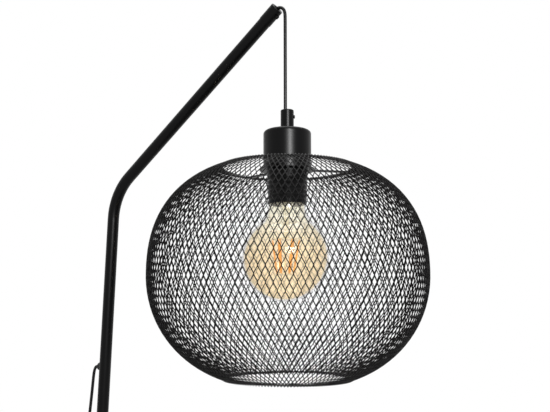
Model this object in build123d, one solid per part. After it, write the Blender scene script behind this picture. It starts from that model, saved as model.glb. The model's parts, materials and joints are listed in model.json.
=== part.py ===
from build123d import *
import os
from math import acos, cos, degrees, hypot, pi, radians, sin, tan

os.makedirs("parts", exist_ok=True)

# Frame: origin on the floor under the middle of the round base, +Z up,
# +X from the pole towards the shade. The pole and the arm lie in the plane Y = 0.
# Lengths are millimetres, angles are degrees.

# ---------------------------------------------------------------- clearances
FIT = 0.05            # radial play of turned pieces that fit into one another
SEAT = 0.3            # gap of curved or formed pieces at their seat
RUN = 0.1             # radial play round a piece that moves

# ---------------------------------------------------------------- base
BASE_R = 140.0
COVER_WALL = 1.2
COVER_LIFT = 1.0      # lower edge of the cover above the floor
COVER_EDGE_Z = 14.0   # top of the cover at its rim
COVER_TOP_Z = 18.0    # flat middle of the cover
COVER_FLAT_R = 24.0
COVER_EDGE_R = 4.0
PAD_T = 2.5
PAD_INSET = 5.0
WEIGHT_BOSS_R = 26.0
NUT_RECESS_R = 15.0
NUT_RECESS_DEPTH = 10.0
STUD_R = 5.0
STUD_END_GAP = 0.5
NUT_FLATS = 17.0
NUT_T = 7.0
WASHER_R = 12.0
WASHER_T = 2.0

# ---------------------------------------------------------------- pole and arm
TUBE_R = 7.5
TUBE_WALL = 1.0
LEAN = 2.1            # the pole stands this far out of plumb, towards the shade
SOCKET_R = 10.5
SOCKET_FLANGE_R = 19.0
SOCKET_FLANGE_T = 4.0
SOCKET_H = 30.0
SOCKET_FLOOR = 10.0   # the pole's foot stands this high in the socket
SECTION_LENGTH = 440.0
CORNER_Z = 1344.7
ARM_ANGLE = 37.1      # above the horizontal
ARM_LENGTH = 329.4    # corner to the outer face of the tip
ARM_BEND_R = 70.0
INSERT_LENGTH = 16.0
INSERT_RECESS = 0.3   # each threaded insert ends this far inside its tube
NIPPLE_LENGTH = 28.0
SET_SCREW_R = 2.5

# ---------------------------------------------------------------- arm tip
TIP_SLEEVE_LENGTH = 22.0
TIP_SLEEVE_R = 7.95
TIP_WALL = 2.0
BUSHING_R = 5.0
BUSHING_LENGTH = 11.0
BUSHING_MOUTH_R = 4.3
BUSHING_PROUD = 0.4
TIP_SCREW_BACK = 7.0
TIP_SCREW_R = 1.95
TIP_SCREW_HEAD_R = 2.5
TIP_SCREW_HEAD_T = 1.55

# ---------------------------------------------------------------- cord
CORD_R = 1.95
CORD_GAP = 0.1        # axial play at a flexing point of the cord
BEND_BACK = 3.5       # the bend of the cord starts this far inside the mouth
CORD_REACH = 11.1     # plumb line of the cord beyond the face of the tip
FIRST_FLEX_DROP = 21.0   # the cord flexes here, below the middle of the tip's face
SECOND_FLEX_DROP = 42.0  # and here, across the first
GROMMET_Z = 1117.0
GROMMET_R = 5.2
GROMMET_PROUD = 3.3
GROMMET_NECK_R = 3.95
GROMMET_LIP_T = 1.3

# ---------------------------------------------------------------- pendant stack
PENDANT_DROP = 125.0  # from the middle of the tip's face down to the top of the grip
CANISTER_R = 27.2
CANISTER_H = 44.3
CANISTER_WALL = 1.0
CANISTER_EDGE_R = 4.0
GRIP_R = 7.55
GRIP_H = 24.4
GRIP_BORE_R = 4.1
GRIP_BORE_DEPTH = 15.5
GRIP_STUD_LENGTH = 9.0
GRIP_STUD_BORE_R = 3.2
GRIP_EDGE_R = 1.2
GRIP_SCREW_R = 2.0
GRIP_SCREW_DROP = 7.8
GRIP_SCREW_PROUD = 1.3
GRIP_TURN = 34.0      # the side screw of the grip points this far round from +X
CAP_NUT_FLATS = 14.0
CAP_NUT_T = 3.0
HOLDER_R = 20.0
HOLDER_WALL = 2.4
HOLDER_BELOW = 32.5   # skirt below the hub of the shade
HOLDER_ABOVE = 16.3   # skirt above the hub of the shade
HOLDER_FLANGE_R = 25.0
HOLDER_FLANGE_T = 4.0
HOLDER_CAP_NECK_R = 7.5
HOLDER_CAP_RISE = 12.0
INSERT_BLOCK_T = 15.0
INSERT_BLOCK_DROP = 6.7
CONTACT_R = 3.5
CONTACT_T = 1.2
SHELL_R = 14.0
SHELL_WALL = 0.4
SHELL_LENGTH = 25.0
COLLAR_TOP_R = 23.3
COLLAR_BOTTOM_R = 21.7
COLLAR_LENGTH = 38.8
COLLAR_GROOVES = 5
COLLAR_GROOVE = 0.7
WIRE_R = 1.0
WIRE_SPREAD = 6.5
WIRE_STRAIGHT = 3.0        # the wires run on this far below the grip's stud
WIRE_SPREAD_DROP = 13.0    # and part over this height

# ---------------------------------------------------------------- shade
SHADE_R = 155.0
SHADE_TOP_RISE = 130.0     # where the upper half would close
SHADE_TOP_POWERS = (2.55, 2.36)
SHADE_BOTTOM_DROP = 125.0  # where the lower half would close
SHADE_BOTTOM_POWERS = (2.4, 2.0)
TOP_HOLE_R = 73.5
BOTTOM_HOLE_R = 74.0
MESH_AROUND = 40           # openings side by side round the shade
MESH_ROWS = 13             # half rows from hem to hem
MESH_DEPTH = 1.6
MESH_STUB = 1.35           # half width of a strand, measured along a row
HEM = 3.5                  # closed edge along each hole
RING_WIRE_R = 1.5
SPIDER_T = 1.5
SPIDER_HUB_R = 31.5
SPIDER_ARM_W = 7.0
SPIDER_ARMS = 3
SPIDER_TURN = 44.7         # first arm, round from +X

# ---------------------------------------------------------------- bulb
BULB_R = 48.5
BULB_LENGTH = 140.6
BULB_WALL = 0.8
BULB_NECK_R = 19.4
BULB_BLEND_R = 22.0
BULB_SHOULDER = 3.5
BULB_CAP_R = 13.2
BULB_CAP_LENGTH = 27.0
BULB_TIP_R = 4.5
BULB_TIP_T = 2.0
BULB_CONE_T = 4.0
STEM_R = 4.0
STEM_LENGTH = 30.0
FILAMENT_R = 0.9
FILAMENT_TOP_R = 15.0
FILAMENT_BOTTOM_R = 10.0
FILAMENT_COUNT = 6
FILAMENT_LENGTH = 36.0
FILAMENT_RISE = 5.5        # middle of the filaments above the middle of the globe
FILAMENT_GAP = 0.25        # between a leaning filament's ends and the two collars

# ---------------------------------------------------------------- mains lead
SWITCH_AT = (-176.5, 186.0)
SWITCH_TURN = 60.0
SWITCH_LENGTH = 66.0
SWITCH_WIDTH = 34.0
SWITCH_HEIGHT = 20.0
SWITCH_SPLIT_Z = 8.0
SWITCH_WALL = 2.0
SWITCH_CORNER_R = 13.0
SWITCH_EDGE_R = 4.0
SWITCH_CORD_Z = 6.0
BUTTON_R = 11.0
BUTTON_PROUD = 3.5
BUTTON_FLANGE = 1.5
BUTTON_STEM_R = 2.5
BUTTON_TRAVEL = 2.5
SWITCH_BLOCK = (22.0, 16.0, 5.0)
SPRING_R = 4.2
SPRING_WIRE_R = 0.4
SPRING_TURNS = 4
RELIEF_LENGTH = 20.0
RELIEF_BIG_R = 4.2
RELIEF_SMALL_R = 2.8
COIL_AT = (-88.0, 238.0)
COIL_TURNS_PER_LAYER = 3
COIL_MIDDLE_R = 21.5
COIL_PITCH = 4.9
COIL_START = 90.0         # where round the coil the lead joins it
PLUG_AT = (-30.0, 193.0)
PLUG_TURN = -70.0
PLUG_LENGTH = 35.0
PLUG_WIDTH = 25.0
PLUG_THICK = 13.0
PLUG_Z = 6.6
PIN_R = 2.0
PIN_LENGTH = 19.0
PIN_SPACING = 18.6

# ---------------------------------------------------------------- derived places
LEAN_UP = Vector(sin(radians(LEAN)), 0, cos(radians(LEAN)))
LEAN_OUT = Vector(cos(radians(LEAN)), 0, -sin(radians(LEAN)))
ARM_UP = Vector(cos(radians(ARM_ANGLE)), 0, sin(radians(ARM_ANGLE)))
ARM_DOWN = Vector(sin(radians(ARM_ANGLE)), 0, -cos(radians(ARM_ANGLE)))


def on_pole(s, out=0.0):
    """Point s along the leaning pole from the top of the base, and out from its axis."""
    return Vector(0, 0, COVER_TOP_Z) + LEAN_UP * s + LEAN_OUT * out


CORNER_S = (CORNER_Z - COVER_TOP_Z) / cos(radians(LEAN))
CORNER = on_pole(CORNER_S)
TIP = CORNER + ARM_UP * ARM_LENGTH
TUBE_BORE_R = TUBE_R - TUBE_WALL
JOINT_S = (SOCKET_FLOOR + SECTION_LENGTH, SOCKET_FLOOR + 2 * SECTION_LENGTH)
GROMMET_S = (GROMMET_Z - COVER_TOP_Z) / cos(radians(LEAN))

BEND_START = TIP - ARM_UP * BEND_BACK
CORD_X = TIP.X + CORD_REACH
FIRST_FLEX = Vector(CORD_X, 0, TIP.Z - FIRST_FLEX_DROP)
SECOND_FLEX = Vector(CORD_X, 0, TIP.Z - SECOND_FLEX_DROP)
CORD_OFFSET = GRIP_BORE_R - CORD_R - FIT
PENDANT_X = CORD_X + CORD_OFFSET * cos(radians(GRIP_TURN))
PENDANT_Y = CORD_OFFSET * sin(radians(GRIP_TURN))
GRIP_TOP_Z = TIP.Z - PENDANT_DROP
CANISTER_TOP_Z = GRIP_TOP_Z - GRIP_H
HUB_TOP_Z = CANISTER_TOP_Z - CANISTER_H
COLLAR_TOP_Z = HUB_TOP_Z - SPIDER_T
CORD_END_Z = GRIP_TOP_Z - GRIP_BORE_DEPTH + CORD_GAP
HOLDER_BOTTOM_Z = COLLAR_TOP_Z - HOLDER_BELOW
HOLDER_TOP_Z = HUB_TOP_Z + HOLDER_ABOVE
INSERT_BLOCK_Z = HUB_TOP_Z - INSERT_BLOCK_DROP
CONTACT_BOTTOM_Z = INSERT_BLOCK_Z - CONTACT_T
BULB_TIP_Z = CONTACT_BOTTOM_Z - RUN
BULB_NECK_Z = BULB_TIP_Z - BULB_CAP_LENGTH
BULB_MID_Z = BULB_TIP_Z - BULB_LENGTH + BULB_R
TOP_RING_Z = COLLAR_TOP_Z + SPIDER_T / 2

NODES = {}


def keep(name, shape):
    """Hold a finished sub-part under the name of its node."""
    NODES[name] = shape


def cylinder(radius, low, high):
    """Upright cylinder between two heights."""
    return Pos(0, 0, low) * Cylinder(radius, high - low, align=(Align.CENTER, Align.CENTER, Align.MIN))


def turned(points):
    """Solid of revolution about Z from (radius, height) points."""
    outline = Polyline([(r, 0, z) for r, z in points], close=True)
    return revolve(make_face(outline), Axis.Z)


def frame_at(origin, z_dir, x_dir=(0, 1, 0)):
    """Placement whose +Z runs along z_dir."""
    return Plane(origin=origin, x_dir=x_dir, z_dir=z_dir).location


def hex_nut(flats, bore_r, low, high):
    """Hexagon nut between two heights."""
    across = flats / 2 / cos(radians(30))
    body = Pos(0, 0, low) * extrude(RegularPolygon(across, 6), high - low)
    return body - cylinder(bore_r, low - 1, high + 1)


def cord_tube(points, ball_start=False, radius=CORD_R, radii=None):
    """Round cord along straight runs joined by tangent arcs, as large as the runs allow."""
    pts = [Vector(*p) for p in points]
    if radii is None:
        radii = corner_radii(pts)
    path = FilletPolyline(pts, radius=radii) if radii else Line(pts[0], pts[1])
    start = Plane(origin=pts[0], z_dir=(pts[1] - pts[0]).normalized())
    tube = sweep(start * Circle(radius), path=path)
    if ball_start:
        tube = tube + Pos(*pts[0]) * Sphere(radius)
    return tube


def corner_radii(pts):
    """Radius at each corner: 0.45 of the shorter run over the tangent of half the turn."""
    radii = []
    for before, here, after in zip(pts, pts[1:], pts[2:]):
        turn = (here - before).get_angle(after - here)
        shorter = min((here - before).length, (after - here).length)
        radii.append(0.45 * shorter / tan(radians(turn / 2)))
    return radii


def report_cord(name, points, tube, radius=CORD_R):
    """Print a cord's arc radii, and its volume against its section times its length."""
    pts = [Vector(*p) for p in points]
    radii = corner_radii(pts)
    length = sum((b - a).length for a, b in zip(pts, pts[1:]))
    for before, here, after, r in zip(pts, pts[1:], pts[2:], radii):
        half = radians((here - before).get_angle(after - here) / 2)
        length -= 2 * r * tan(half) - 2 * r * half
    smallest = min(radii) if radii else 0
    print(f"{name}: length {length:.1f} smallest radius {smallest:.1f}",
          f"volume ratio {tube.volume / (pi * radius ** 2 * length):.4f}",
          "radii", " ".join(f"{r:.0f}" for r in radii))


# ================================================================ base
def base_cover():
    """Spun steel cover: flat middle, shallow cone, rounded rim."""
    outside = turned([(0, COVER_LIFT), (BASE_R, COVER_LIFT), (BASE_R, COVER_EDGE_Z),
                      (COVER_FLAT_R, COVER_TOP_Z), (0, COVER_TOP_Z)])
    rim = outside.edges().filter_by(GeomType.CIRCLE).sort_by(SortBy.RADIUS)[-2:].sort_by(Axis.Z)[-1]
    outside = fillet(rim, COVER_EDGE_R)
    inner_r = BASE_R - COVER_WALL
    inside = turned([(0, 0), (inner_r, 0), (inner_r, COVER_EDGE_Z - COVER_WALL),
                     (COVER_FLAT_R, COVER_TOP_Z - COVER_WALL), (0, COVER_TOP_Z - COVER_WALL)])
    rim = inside.edges().filter_by(GeomType.CIRCLE).sort_by(SortBy.RADIUS)[-2:].sort_by(Axis.Z)[-1]
    inside = fillet(rim, COVER_EDGE_R - COVER_WALL)
    return outside - inside - cylinder(STUD_R + SEAT, 0, COVER_TOP_Z + 1)


def base_weight():
    """Cast disc under the cover, with a boss and a recess for the nut."""
    radius = BASE_R - COVER_WALL - SEAT
    top = COVER_EDGE_Z - COVER_WALL - SEAT
    disc = cylinder(radius, PAD_T, top)
    rim = disc.edges().filter_by(GeomType.CIRCLE).sort_by(Axis.Z)[-1]
    disc = chamfer(rim, COVER_EDGE_R - COVER_WALL)
    disc += cylinder(WEIGHT_BOSS_R, top - 1, COVER_TOP_Z - COVER_WALL - SEAT)
    disc -= cylinder(NUT_RECESS_R, PAD_T - 1, PAD_T + NUT_RECESS_DEPTH)
    return disc - cylinder(STUD_R + SEAT, 0, COVER_TOP_Z)


def pole_socket():
    """Flanged socket on the cover: upright flange, sleeve leaning with the pole."""
    flange = cylinder(SOCKET_FLANGE_R, COVER_TOP_Z, COVER_TOP_Z + SOCKET_FLANGE_T)
    rim = flange.edges().filter_by(GeomType.CIRCLE).sort_by(Axis.Z)[-1]
    flange = fillet(rim, SOCKET_FLANGE_T / 2)
    place = frame_at(on_pole(0), LEAN_UP)
    sleeve = place * cylinder(SOCKET_R, 1, SOCKET_H)
    body = flange + sleeve
    body -= place * cylinder(TUBE_R + FIT, SOCKET_FLOOR, SOCKET_H + 1)
    body -= cylinder(STUD_R + FIT, 0, COVER_TOP_Z + SOCKET_FLOOR - 2)
    hole = frame_at(on_pole((SOCKET_FLOOR + SOCKET_H) / 2), LEAN_OUT * -1)
    return body - hole * cylinder(SET_SCREW_R + FIT, 0, SOCKET_R + 1)


def socket_screw():
    """Set screw through the socket's wall onto the pole, with a hexagon recess."""
    place = frame_at(on_pole((SOCKET_FLOOR + SOCKET_H) / 2), LEAN_OUT * -1)
    screw = cylinder(SET_SCREW_R, TUBE_R + FIT, SOCKET_R - 0.5)
    recess = Pos(0, 0, SOCKET_R - 2) * extrude(RegularPolygon(SET_SCREW_R / 2, 6), 2)
    return place * (screw - recess)


def make_base():
    keep("base_cover", base_cover())
    keep("base_weight", base_weight())
    keep("base_pad", cylinder(BASE_R - PAD_INSET, 0, PAD_T))
    keep("pole_socket", pole_socket())
    keep("socket_screw", socket_screw())
    recess_top = PAD_T + NUT_RECESS_DEPTH
    washer = cylinder(WASHER_R, recess_top - WASHER_T, recess_top)
    keep("base_washer", washer - cylinder(STUD_R + SEAT, 0, COVER_TOP_Z))
    nut_top = recess_top - WASHER_T
    keep("base_nut", hex_nut(NUT_FLATS, STUD_R + FIT, nut_top - NUT_T, nut_top))
    keep("base_stud", cylinder(STUD_R, PAD_T + STUD_END_GAP, COVER_TOP_Z + SOCKET_FLOOR - 2 - STUD_END_GAP))


# ================================================================ pole and arm
def pole_section(low, high):
    """Straight tube between two places on the pole."""
    tube = cylinder(TUBE_R, low, high) - cylinder(TUBE_BORE_R, low - 1, high + 1)
    return frame_at(on_pole(0), LEAN_UP) * tube


def arm_path():
    """Centre line of the bent top tube, up the pole and out along the arm."""
    return FilletPolyline([on_pole(JOINT_S[1]), CORNER, TIP - ARM_UP * TIP_WALL], radius=ARM_BEND_R)


def arm_tube():
    """Top of the pole and arm in one bent tube, with the holes for the lead and the tip's screw."""
    start = Plane(origin=on_pole(JOINT_S[1]), z_dir=LEAN_UP)
    tube = sweep(start * (Circle(TUBE_R) - Circle(TUBE_BORE_R)), path=arm_path())
    lead_hole = frame_at(on_pole(GROMMET_S), LEAN_OUT * -1)
    tube -= lead_hole * cylinder(GROMMET_NECK_R + FIT, 1, TUBE_R + 2)
    screw_hole = frame_at(TIP - ARM_UP * TIP_SCREW_BACK, ARM_DOWN)
    return tube - screw_hole * cylinder(TIP_SCREW_R + FIT, 1, TUBE_R + 2)


def tip_sleeve():
    """End cap of the arm: a sleeve with a bored end wall."""
    place = frame_at(TIP, ARM_UP)
    sleeve = cylinder(TIP_SLEEVE_R, -TIP_SLEEVE_LENGTH, 0)
    rim = sleeve.edges().filter_by(GeomType.CIRCLE).sort_by(Axis.Z)[-1]
    sleeve = fillet(rim, 0.5)
    sleeve -= cylinder(TUBE_R + FIT, -TIP_SLEEVE_LENGTH - 1, -TIP_WALL)
    sleeve -= cylinder(BUSHING_R + FIT, -TIP_WALL - 1, 1)
    screw_hole = frame_at(TIP - ARM_UP * TIP_SCREW_BACK, ARM_DOWN)
    return place * sleeve - screw_hole * cylinder(TIP_SCREW_R + FIT, 1, TIP_SLEEVE_R + 2)


def tip_bushing():
    """Flared liner in which the cord turns down without an edge to rub on."""
    throat = CORD_R + RUN
    flange = TUBE_BORE_R - SEAT
    flare = -BEND_BACK - CORD_R
    liner = turned([(throat, -BUSHING_LENGTH), (flange - 1, -BUSHING_LENGTH), (flange - 1, -TIP_WALL - 1.5),
                    (flange, -TIP_WALL - 1.5), (flange, -TIP_WALL), (BUSHING_R, -TIP_WALL),
                    (BUSHING_R, BUSHING_PROUD), (BUSHING_MOUTH_R, BUSHING_PROUD), (throat, flare)])
    return frame_at(TIP, ARM_UP) * liner


def tip_screw():
    """Small cheese-head screw on the underside of the tip."""
    head_low = TIP_SLEEVE_R
    screw = cylinder(TIP_SCREW_R, TUBE_BORE_R, head_low + 0.1)
    head = cylinder(TIP_SCREW_HEAD_R, head_low, head_low + TIP_SCREW_HEAD_T)
    slot = Pos(0, 0, head_low + TIP_SCREW_HEAD_T) * Box(2 * TIP_SCREW_HEAD_R, 0.7, 1.2)
    return frame_at(TIP - ARM_UP * TIP_SCREW_BACK, ARM_DOWN) * (screw + head - slot)


def lead_grommet():
    """Rubber grommet in the pole's wall, domed outside and lipped inside."""
    pole = frame_at(on_pole(0), LEAN_UP)
    hole = frame_at(on_pole(GROMMET_S), LEAN_OUT * -1)
    face = TUBE_R + GROMMET_PROUD
    dome = cylinder(GROMMET_R, TUBE_R - 2, face)
    rim = dome.edges().filter_by(GeomType.CIRCLE).sort_by(Axis.Z)[-1]
    dome = fillet(rim, 1.4)
    span = (GROMMET_S - 3 * GROMMET_R, GROMMET_S + 3 * GROMMET_R)
    outer = hole * dome - pole * cylinder(TUBE_R + FIT, *span)
    lip_low = TUBE_BORE_R - GROMMET_LIP_T
    inner = (hole * cylinder(GROMMET_R - 0.6, lip_low, TUBE_R)) & (pole * cylinder(TUBE_BORE_R - FIT, *span))
    neck = hole * cylinder(GROMMET_NECK_R, lip_low, face - 1)
    return outer + inner + neck - hole * cylinder(CORD_R + RUN, 0, face + 1)


def inner_cord():
    """Cord inside the lamp, from the grommet up the pole and along the arm to the tip."""
    exit_face = on_pole(GROMMET_S, -(TUBE_R + GROMMET_PROUD))
    turn_up = on_pole(GROMMET_S)
    exit_bend = TUBE_BORE_R - CORD_R
    end = BEND_START - ARM_UP * CORD_GAP
    path = FilletPolyline([exit_face, turn_up, CORNER, end], radius=[exit_bend, ARM_BEND_R])
    start = Plane(origin=exit_face, z_dir=LEAN_OUT)
    return sweep(start * Circle(CORD_R), path=path)


def make_pole():
    keep("pole_lower", pole_section(SOCKET_FLOOR, JOINT_S[0]))
    keep("pole_middle", pole_section(JOINT_S[0], JOINT_S[1]))
    keep("arm_tube", arm_tube())
    place = frame_at(on_pole(0), LEAN_UP)
    bush = cylinder(TUBE_BORE_R - FIT, 0, INSERT_LENGTH) - cylinder(STUD_R + FIT, 0, INSERT_LENGTH)
    low_side = [place * Pos(0, 0, s - INSERT_RECESS - INSERT_LENGTH) * bush for s in JOINT_S]
    high_side = [place * Pos(0, 0, s + INSERT_RECESS) * bush for s in JOINT_S]
    keep("pole_inserts", Compound(children=low_side + high_side))
    half = NIPPLE_LENGTH / 2
    keep("pole_nipples", Compound(children=[place * cylinder(STUD_R, s - half, s + half) for s in JOINT_S]))
    keep("tip_sleeve", tip_sleeve())
    keep("tip_bushing", tip_bushing())
    keep("tip_screw", tip_screw())
    keep("lead_grommet", lead_grommet())
    keep("inner_cord", inner_cord())


# ================================================================ hanging cord
# Route of the bend over the lip of the bushing, relative to the middle of the tip's face.
BEND_ROUTE = [(0.2, 0, 0.2), (4.8, 0, -0.2), (8.8, 0, -3.0), (10.8, 0, -8.2), (11.1, 0, -13.6)]


def make_hanging_cord():
    above = Vector(0, 0, CORD_R + CORD_GAP)
    bend = [BEND_START] + [TIP + Vector(*p) for p in BEND_ROUTE] + [FIRST_FLEX + above]
    points = [tuple(p) for p in bend]
    tube = cord_tube(points)
    keep("pendant_cord_bend", tube)
    report_cord("pendant_cord_bend", points, tube)
    # Each straight stretch starts as a ball round the point where the cord flexes.
    keep("pendant_cord_upper", cord_tube([tuple(FIRST_FLEX), tuple(SECOND_FLEX + above)], ball_start=True))
    keep("pendant_cord_lower", cord_tube([tuple(SECOND_FLEX), (CORD_X, 0, CORD_END_Z)], ball_start=True))


# ================================================================ pendant
def cord_grip():
    """Turned grip: bore for the cord, side screw, hollow threaded stud below."""
    body = cylinder(GRIP_R, CANISTER_TOP_Z, GRIP_TOP_Z)
    rim = body.edges().filter_by(GeomType.CIRCLE).sort_by(Axis.Z)[-1]
    body = fillet(rim, GRIP_EDGE_R)
    body += cylinder(STUD_R, CANISTER_TOP_Z - GRIP_STUD_LENGTH, CANISTER_TOP_Z + 1)
    body -= cylinder(GRIP_BORE_R, GRIP_TOP_Z - GRIP_BORE_DEPTH, GRIP_TOP_Z + 1)
    body -= cylinder(GRIP_STUD_BORE_R, CANISTER_TOP_Z - GRIP_STUD_LENGTH - 1, GRIP_TOP_Z)
    return body - grip_screw_place() * cylinder(GRIP_SCREW_R + FIT, 0, GRIP_R + 2)


def grip_screw_place():
    """Placement of the grip's side screw: +Z points outwards through the wall."""
    turn = radians(GRIP_TURN)
    return frame_at((0, 0, GRIP_TOP_Z - GRIP_SCREW_DROP), (cos(turn), sin(turn), 0), x_dir=(0, 0, 1))


def grip_screw():
    """Nylon side screw that presses the cord against the far wall of the bore."""
    tip = CORD_R - CORD_OFFSET + FIT
    screw = cylinder(GRIP_SCREW_R, tip, GRIP_R + GRIP_SCREW_PROUD)
    rim = screw.edges().filter_by(GeomType.CIRCLE).sort_by(Axis.Z)[-1]
    screw = fillet(rim, 0.6)
    slot = Pos(0, 0, GRIP_R + GRIP_SCREW_PROUD) * Box(2 * GRIP_SCREW_R + 1, 0.7, 1.4)
    return grip_screw_place() * (screw - slot)


def canister():
    """Deep drawn cup over the lampholder, closed and rounded at the top."""
    outside = cylinder(CANISTER_R, HUB_TOP_Z, CANISTER_TOP_Z)
    outside = fillet(outside.edges().filter_by(GeomType.CIRCLE).sort_by(Axis.Z)[-1], CANISTER_EDGE_R)
    inside = cylinder(CANISTER_R - CANISTER_WALL, HUB_TOP_Z - 1, CANISTER_TOP_Z - CANISTER_WALL)
    inside = fillet(inside.edges().filter_by(GeomType.CIRCLE).sort_by(Axis.Z)[-1],
                    CANISTER_EDGE_R - CANISTER_WALL)
    return outside - inside - cylinder(STUD_R + SEAT, HUB_TOP_Z, CANISTER_TOP_Z + 1)


def lampholder_cap():
    """Upper half of the lampholder: threaded neck and a sloping shell."""
    neck_top = CANISTER_TOP_Z - CANISTER_WALL - CAP_NUT_T
    neck_low = neck_top - 6.0
    shoulder = HOLDER_TOP_Z + HOLDER_CAP_RISE
    wall = HOLDER_WALL
    return turned([(STUD_R + FIT, neck_top), (HOLDER_CAP_NECK_R, neck_top), (HOLDER_CAP_NECK_R, neck_low),
                   (HOLDER_R, shoulder), (HOLDER_R, HOLDER_TOP_Z), (HOLDER_R - wall, HOLDER_TOP_Z),
                   (HOLDER_R - wall, shoulder - 1), (STUD_R + FIT, neck_low - 2)])


def lampholder_body():
    """Lower half of the lampholder: threaded skirt with a flange that rests on the hub."""
    body = cylinder(HOLDER_R, HOLDER_BOTTOM_Z, HOLDER_TOP_Z)
    body += cylinder(HOLDER_FLANGE_R, HUB_TOP_Z, HUB_TOP_Z + HOLDER_FLANGE_T)
    return body - cylinder(HOLDER_R - HOLDER_WALL, HOLDER_BOTTOM_Z - 1, HOLDER_TOP_Z + 1)


def threaded_collar():
    """Long tapered ring, screwed up the skirt against the hub, with rounded ridges."""
    top = COLLAR_TOP_Z
    low = top - COLLAR_LENGTH
    points = [(HOLDER_R + FIT, low), (COLLAR_BOTTOM_R, low)]
    step = COLLAR_LENGTH * 0.7 / COLLAR_GROOVES
    for k in range(COLLAR_GROOVES):
        z = low + 4.0 + k * step
        r = COLLAR_BOTTOM_R + (COLLAR_TOP_R - COLLAR_BOTTOM_R) * (z - low) / COLLAR_LENGTH
        points += [(r, z), (r - COLLAR_GROOVE, z + step * 0.25), (r, z + step * 0.5)]
    points += [(COLLAR_TOP_R, top), (HOLDER_R + FIT, top)]
    return turned(points)


def shade_spider():
    """Flat hub with arms out to the wire ring of the top hole."""
    low = COLLAR_TOP_Z
    hub = cylinder(SPIDER_HUB_R, low, HUB_TOP_Z)
    arm_from = SPIDER_HUB_R - 3
    arm_to, _ = ring_seat(TOP_HOLE_R, SHADE_TOP_RISE, SHADE_TOP_POWERS)
    for k in range(SPIDER_ARMS):
        arm = Pos((arm_from + arm_to) / 2, 0, low + SPIDER_T / 2) * Box(arm_to - arm_from, SPIDER_ARM_W, SPIDER_T)
        hub += Rot(0, 0, SPIDER_TURN + k * 360 / SPIDER_ARMS) * arm
    hub -= Pos(0, 0, TOP_RING_Z) * Torus(arm_to, RING_WIRE_R + FIT)
    return hub - cylinder(HOLDER_R + SEAT, low - 1, HUB_TOP_Z + 1)


def holder_wires():
    """Two wires from the end of the cord to the terminals of the lampholder."""
    top = CORD_END_Z - CORD_GAP - 0.5
    wires = []
    for side in (-1, 1):
        near = side * (WIRE_R + RUN)
        far = side * WIRE_SPREAD
        stud_low = CANISTER_TOP_Z - GRIP_STUD_LENGTH
        part_z = stud_low - WIRE_STRAIGHT
        route = [(near, 0, top), (near, 0, part_z), (far, 0, part_z - WIRE_SPREAD_DROP),
                 (far, 0, INSERT_BLOCK_Z + INSERT_BLOCK_T)]
        wires.append(cord_tube(route, radius=WIRE_R))
    return Compound(children=wires)


def bulb_outline(offset):
    """Closed half section of the bulb, drawn in by offset."""
    ball = BULB_R - offset
    neck = BULB_NECK_R - offset
    top = BULB_NECK_Z
    # An arc, tangent to both, joins the neck's line and the ball.
    blend = BULB_BLEND_R + offset
    centre_r = neck + blend
    centre_z = BULB_MID_Z + ((ball + blend) ** 2 - centre_r ** 2) ** 0.5
    reach = ball / (ball + blend)
    join = (centre_r * reach, BULB_MID_Z + (centre_z - BULB_MID_Z) * reach)
    lean = (pi + acos(centre_r / (ball + blend))) / 2 + pi / 2
    arc_mid = (centre_r + blend * cos(lean), centre_z + blend * sin(lean))
    low = (0, BULB_MID_Z - ball)
    side = (ball, BULB_MID_Z)
    return neck, top, centre_z, join, arc_mid, side, low


def bulb_body(offset):
    """Solid of the bulb's outer form, drawn in by offset."""
    neck, top, centre_z, join, arc_mid, side, low = bulb_outline(offset)
    point = lambda rz: (rz[0], 0, rz[1])
    mouth = BULB_CAP_R - offset
    shoulder = top - BULB_SHOULDER
    lines = [Line((0, 0, top), (mouth, 0, top)), Line((mouth, 0, top), (neck, 0, shoulder))]
    lines.append(Line((neck, 0, shoulder), (neck, 0, centre_z)))
    lines.append(ThreePointArc((neck, 0, centre_z), point(arc_mid), point(join)))
    lines.append(ThreePointArc(point(join), point(side), point(low)))
    lines.append(Line(point(low), (0, 0, top)))
    return revolve(make_face(lines), Axis.Z)


def bulb_cap():
    """Screw cap of the bulb: tip contact, insulating cone and thread core."""
    top = BULB_TIP_Z
    cone = top - BULB_TIP_T
    shoulder = cone - BULB_CONE_T
    low = top - BULB_CAP_LENGTH
    return turned([(0, top), (BULB_TIP_R, top), (BULB_TIP_R, cone), (BULB_CAP_R - 1.5, shoulder),
                   (BULB_CAP_R, shoulder - 1), (BULB_CAP_R, low), (0, low)])


def filaments():
    """Straight filaments in a ring round the stem, leaning in towards the bottom."""
    rods = []
    top_z = BULB_MID_Z + FILAMENT_RISE + FILAMENT_LENGTH / 2
    for k in range(FILAMENT_COUNT):
        turn = radians(k * 360 / FILAMENT_COUNT)
        high_z = top_z - FILAMENT_GAP
        low_z = top_z - FILAMENT_LENGTH + FILAMENT_GAP
        high = Vector(FILAMENT_TOP_R * cos(turn), FILAMENT_TOP_R * sin(turn), high_z)
        low = Vector(FILAMENT_BOTTOM_R * cos(turn), FILAMENT_BOTTOM_R * sin(turn), low_z)
        rods.append(cord_tube([tuple(high), tuple(low)], radius=FILAMENT_R))
    return Compound(children=rods)


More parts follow.
